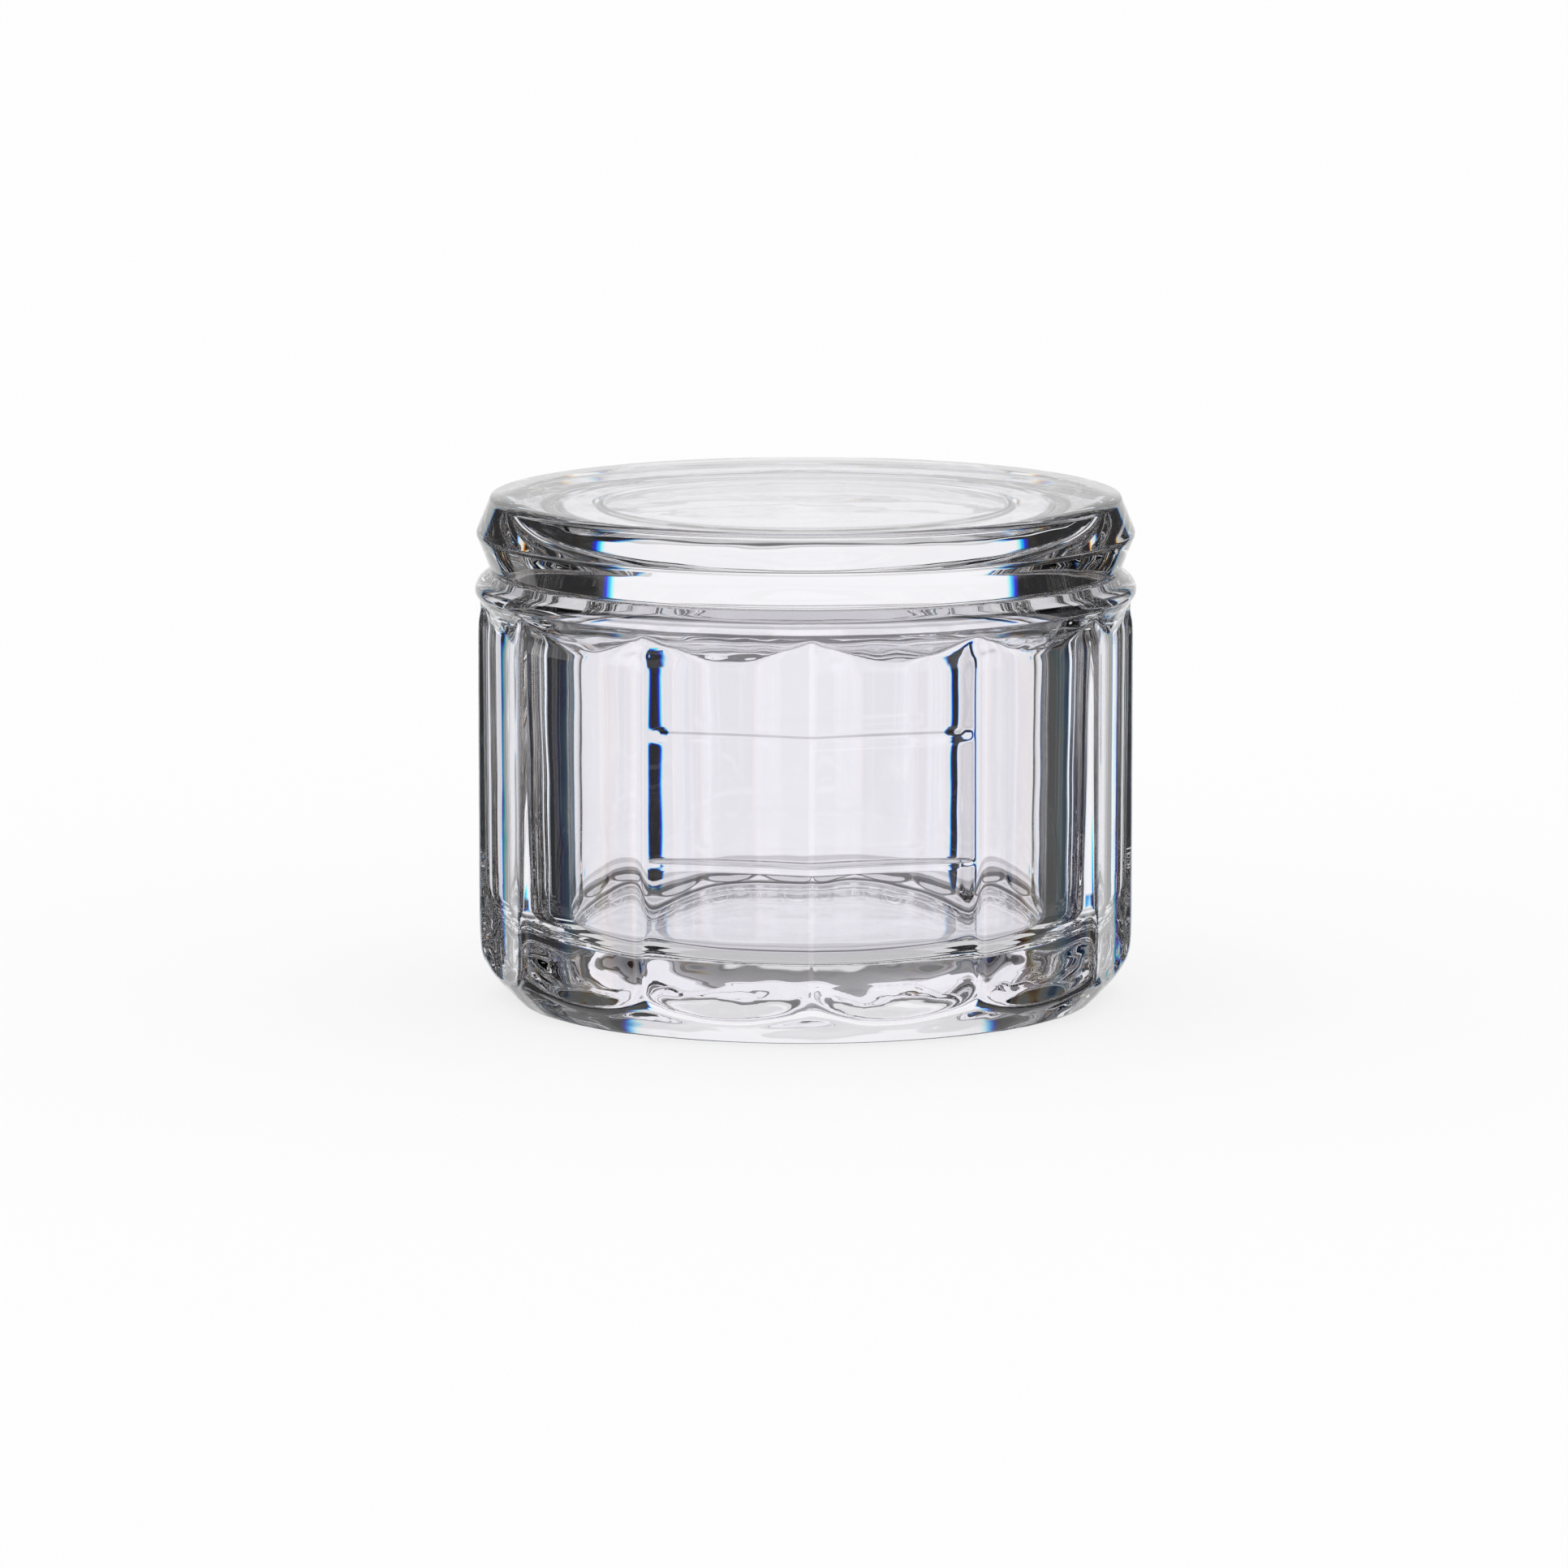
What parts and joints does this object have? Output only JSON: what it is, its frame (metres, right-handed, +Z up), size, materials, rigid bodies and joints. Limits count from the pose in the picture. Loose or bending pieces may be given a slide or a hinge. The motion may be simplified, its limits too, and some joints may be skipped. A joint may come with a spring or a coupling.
{
  "type": "salt cellar",
  "caption": "Round salt cellar of thick clear pressed glass: a faceted jar with a rounded shoulder and a smooth well, and a heavy flat glass lid that lifts off.",
  "frame": {"origin": "centre of the round foot, on the surface that the jar stands on", "axes": "+Z up through the middle of the lid; -Y is the front, where a ridge stands between the two facets that carry the rails"},
  "size_m": [0.1, 0.1, 0.076],
  "materials": {
    "jar_glass": "clear fire-polished pressed glass",
    "lid_glass": "clear fire-polished pressed glass"
  },
  "bodies": {
    "jar": {"jar": "jar_glass"},
    "lid": {"lid": "lid_glass"}
  },
  "joints": [
    {"name": "lid_lift", "type": "slide", "parent": "jar", "child": "lid", "axis": [0, 0, 1], "range_m": [0, 0.04]}
  ]
}
